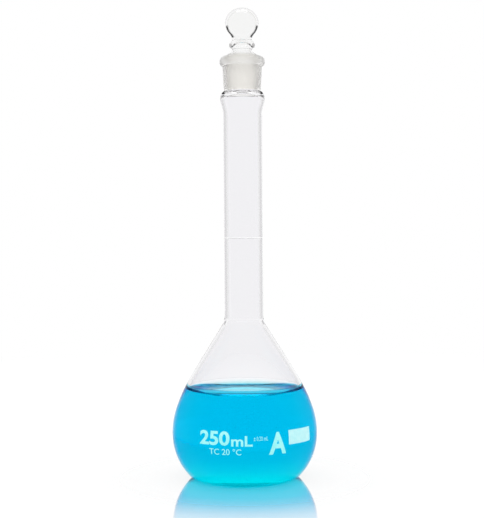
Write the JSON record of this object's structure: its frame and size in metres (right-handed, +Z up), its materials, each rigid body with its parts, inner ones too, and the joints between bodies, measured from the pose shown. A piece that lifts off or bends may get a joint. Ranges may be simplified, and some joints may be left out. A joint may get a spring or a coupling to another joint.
{
  "type": "volumetric flask",
  "caption": "Pear-shaped volumetric flask with a tall narrow neck, graduation line, ground glass joint, hollow ball stopper and blue solution.",
  "frame": {"origin": "middle of the foot, on the surface the flask stands on", "axes": "+Z up along the flask's axis, -Y is the front, which carries the marks, +X is to the right of it"},
  "size_m": [0.08, 0.08, 0.2593],
  "materials": {
    "flask_glass": "polished",
    "ground_glass": "matte",
    "stopper_glass": "polished",
    "line_enamel": "satin",
    "white_enamel": "satin",
    "blue_solution": "gloss"
  },
  "bodies": {
    "flask": {"bulb": "flask_glass", "neck_tube": "flask_glass", "ground_socket": "ground_glass", "graduation_ring": "line_enamel", "writing_patch": "white_enamel", "solution": "blue_solution"},
    "stopper": {"stopper": "stopper_glass"}
  },
  "joints": [
    {"name": "stopper_lift", "type": "slide", "parent": "flask", "child": "stopper", "axis": [0, 0, 1], "range_m": [0, 0.06]}
  ]
}
